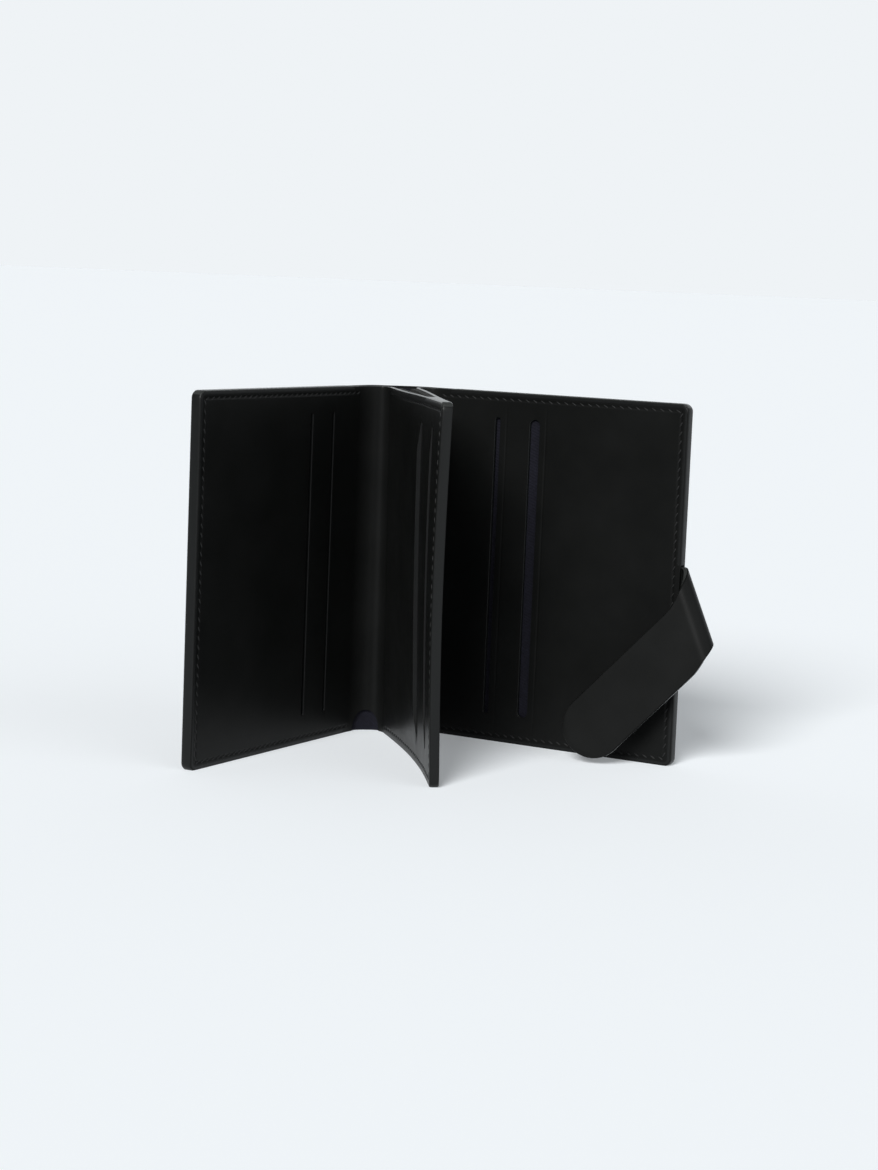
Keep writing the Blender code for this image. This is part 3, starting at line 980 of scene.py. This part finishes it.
def build_leather():
    inner_leather(
        "left_inner_leather", 1, LEFT, LEFT_SLOTS, (), "left_cover",
        ("left_card_panel", "page_front_panel", "front_gusset", "page_front_pocket_liner"),
    )
    inner_leather(
        "right_inner_leather", -1, RIGHT, RIGHT_SLOTS, RIGHT_CREASES, "right_cover",
        ("right_card_panel", "page_back_panel", "back_gusset", "page_back_pocket_liner", "page_core"),
    )
    outer_leather("left_outer_skin", 1, LEFT, "left_cover", ("left_outer_leather",))
    outer_leather("right_outer_skin", -1, RIGHT, "right_cover", ("right_outer_leather", "spine_leather"))


def build_edges():
    tab_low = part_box("strap_tab")[0].z / MM + STRAP_LIFT + STRAP_SHIFT[2] - TAB_MARGIN
    tab_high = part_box("strap_tab")[1].z / MM + STRAP_LIFT + STRAP_SHIFT[2] + TAB_MARGIN
    for name, body, leaf, side, gap in (
        ("left_edge_paint", "left_cover", LEFT, 1, None),
        ("right_edge_paint", "right_cover", RIGHT, -1, (tab_low, tab_high)),
    ):
        angle = angle_from_page(leaf)

        def place(x, across, z, angle=angle, side=side):
            px = x * math.cos(angle) - across * math.sin(angle)
            py = -HALF_SPINE - x * math.sin(angle) - across * math.cos(angle)
            return Vector((px, side * py, z))

        edge_strip(name, body, lambda x, z: 0, lambda x, z: COVER, place, gap)

    def place_on_page(x, y, z):
        return Vector((x, y, z))

    edge_strip(
        "page_edge_paint", "page", page_front, page_back, place_on_page, head_start=PAGE_HEAD_START
    )


def build_seams():
    left_inner, right_inner = inner_place(1, LEFT), inner_place(-1, RIGHT)
    stitches(
        "left_cover_stitches", "left_cover", -WIDTH, left_inner, STITCH_SLANT, ("left_panel_stitching",)
    )
    stitches(
        "right_cover_stitches", "right_cover", -WIDTH, right_inner, STITCH_SLANT, ("right_panel_stitching",)
    )
    stitches("page_front_stitches", "page", WIDTH, left_inner, STITCH_SLANT, ("page_front_stitching",))
    stitches("page_back_stitches", "page", WIDTH, right_inner, STITCH_SLANT, ("page_back_stitching",))
    stitches("left_outside_stitches", "left_cover", -WIDTH, outer_place(1, LEFT), -STITCH_SLANT)
    stitches("right_outside_stitches", "right_cover", -WIDTH, outer_place(-1, RIGHT), -STITCH_SLANT)


def build_spine_lining():
    """The navy lining behind the valley, which shows in the notch at the spine's foot."""
    half = HALF_SPINE - LINING_INSET
    rows = spaced(LINING_INSET, HEIGHT - LINING_INSET, 6)
    slab = grid_slab(spaced(-half, half, 1.5), rows, lambda u: 0, SPINE_LINING_THICK, 0.1)
    obj = as_object("spine_lining", slab, TWILL)
    bend_to(obj, lambda u, depth, z: Vector((SPINE_LINING_X - depth, u, z)))
    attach(obj, "page")
    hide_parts("spine_reinforcement")


def build_valley_lining():
    """The same lining close behind the leather of the front valley."""
    columns = sorted(set(spaced(*VALLEY_LINING, 0.6)))
    rows = spaced(0.05, HEIGHT - LINING_INSET, 6)
    slab = grid_slab(columns, rows, lambda u: 0, VALLEY_LINING_THICK)
    obj = as_object("valley_lining", slab, TWILL)
    leather = inner_place(1, LEFT)
    bend_to(obj, lambda u, depth, z: leather(u, PANEL + VALLEY_LINING_GAP + depth, z))
    blend_to_page(obj, "left_cover", 1, *VALLEY_BLEND)


def build_page_backing():
    """The raw inner layers behind each of the page's skins, seen at its head."""
    for name, side in (("page_front_backing", 1), ("page_back_backing", -1)):
        columns = spaced(BACKING_ROOT, WIDTH - BACKING_EDGE, 3)
        rows = spaced(BACKING_FOOT, HEIGHT - BACKING_HEAD, 6)
        slab = grid_slab(columns, rows, lambda u: 0, 1)
        obj = as_object(name, slab, RAW)

        def place(x, share, z, side=side):
            front, back = page_front(x, z) + PANEL, page_back(x, z) - PANEL
            middle, gap = (front + back) / 2 + 0.4 * page_gap(x, z), page_gap(x, z)
            if side == 1:
                return Vector((x, mix(front + 0.02, max(middle - gap, front + 0.05), share), z))
            return Vector((x, mix(back - 0.02, min(middle + gap, back - 0.05), share), z))

        bend_to(obj, place)
        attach(obj, "page")


def paint_cad():
    """Finishes for the CAD pieces that stay."""
    looks = {"navy_lining": TWILL, "stiffener": BOARD, "snap_metal": METAL}
    for part in frame["record"]["subparts"]:
        obj = frame["nodes"][part["node"]]
        if obj.hide_render:
            continue
        obj.data.materials.clear()
        obj.data.materials.append(looks[part["material_slot"]])


# ---------------------------------------------------------------- stage


def floor():
    """A pale floor that starts just below the camera's view. It glows a little, which softens the shadows."""
    shape = bmesh.new()
    corners = [(-30, FLOOR_FRONT), (30, FLOOR_FRONT), (30, 60), (-30, 60)]
    shape.faces.new([shape.verts.new((x, y, 0)) for x, y in corners])
    shade = [c * FLOOR_SHADE for c in PALE]
    look, _, shader = shader_of("pale_floor", shade, 1.0, Specular_IOR_Level=0.0)
    shader.inputs["Emission Color"].default_value = (*PALE, 1)
    shader.inputs["Emission Strength"].default_value = FLOOR_GLOW
    obj = as_object("floor", shape, look)


def ramp(tree, value, span, levels):
    """A smooth step of value from the first level to the second, across span."""
    node = tree.nodes.new("ShaderNodeMapRange")
    node.interpolation_type = "SMOOTHSTEP"
    node.inputs["From Min"].default_value, node.inputs["From Max"].default_value = span
    node.inputs["To Min"].default_value, node.inputs["To Max"].default_value = levels
    tree.links.new(value, node.inputs["Value"])
    return node.outputs["Result"]


def arithmetic(tree, operation, first, second):
    node = tree.nodes.new("ShaderNodeMath")
    node.operation = operation
    tree.links.new(first, node.inputs[0])
    tree.links.new(second, node.inputs[1])
    return node.outputs["Value"]


def studio_world():
    """The camera sees a plain pale backdrop. Everything else is lit by a world that is bright behind,
    dim in front and above, and has a fill card in front on the right."""
    world = bpy.data.worlds.new("studio")
    world.use_nodes = True
    tree = world.node_tree
    background = tree.nodes["Background"]
    background.inputs["Color"].default_value = (*PALE, 1)
    direction = tree.nodes.new("ShaderNodeTexCoord").outputs["Generated"]
    parts = tree.nodes.new("ShaderNodeSeparateXYZ")
    tree.links.new(direction, parts.inputs["Vector"])
    depth = ramp(tree, parts.outputs["Y"], WORLD_DEPTH, (WORLD_FRONT, 1.0))
    height = ramp(tree, parts.outputs["Z"], WORLD_HEIGHT, (1.0, WORLD_TOP))
    across = tree.nodes.new("ShaderNodeVectorMath")
    across.operation = "DOT_PRODUCT"
    tree.links.new(direction, across.inputs[0])
    across.inputs[1].default_value = CARD_SIDE
    card = ramp(tree, across.outputs["Value"], CARD_SPAN, (0.0, CARD_GLOW))
    total = arithmetic(tree, "ADD", arithmetic(tree, "MULTIPLY", depth, height), card)
    ray = tree.nodes.new("ShaderNodeLightPath")
    seen = tree.nodes.new("ShaderNodeMapRange")
    seen.inputs["To Max"].default_value = 1.0
    tree.links.new(ray.outputs["Is Camera Ray"], seen.inputs["Value"])
    tree.links.new(total, seen.inputs["To Min"])
    tree.links.new(seen.outputs["Result"], background.inputs["Strength"])
    bpy.context.scene.world = world


def key_light():
    """A broad, soft key from the front, a little to the left of the camera."""
    light = bpy.data.lights.new("key", "SUN")
    light.energy = KEY_ENERGY
    light.angle = math.radians(KEY_ANGLE)
    key = bpy.data.objects.new("key", light)
    azimuth, height = math.radians(KEY_AZIMUTH), math.radians(KEY_HEIGHT)
    level = math.cos(height)
    travel = Vector((math.sin(azimuth) * level, math.cos(azimuth) * level, -math.sin(height)))
    key.rotation_euler = travel.to_track_quat("-Z", "Y").to_euler()
    bpy.context.scene.collection.objects.link(key)


def stage():
    floor()
    studio_world()
    key_light()
    bpy.context.scene.view_settings.view_transform = "Standard"


def camera():
    """The camera stands in front, a little above the wallet's head, pitched down and rolled slightly."""
    data = bpy.data.cameras.new("camera")
    data.lens = CAMERA_LENS
    data.sensor_width = CAMERA_SENSOR
    pitch, roll = math.radians(CAMERA_PITCH), math.radians(CAMERA_ROLL)
    forward = Vector((0, math.cos(pitch), -math.sin(pitch)))
    level = Vector((1, 0, 0))
    upright = level.cross(forward)
    right = level * math.cos(roll) + upright * math.sin(roll)
    top = upright * math.cos(roll) - level * math.sin(roll)
    matrix = Matrix((right, top, -forward)).transposed().to_4x4()
    matrix.translation = PAGE.translation + Vector(CAMERA_PLACE) * MM
    obj = bpy.data.objects.new("camera", data)
    obj.matrix_world = matrix
    data.clip_start, data.clip_end = 0.05, 60
    bpy.context.scene.collection.objects.link(obj)
    bpy.context.scene.camera = obj


camera()
build_leather()
build_edges()
build_seams()
build_spine_lining()
build_valley_lining()
build_page_backing()
strap()
paint_cad()
stage()
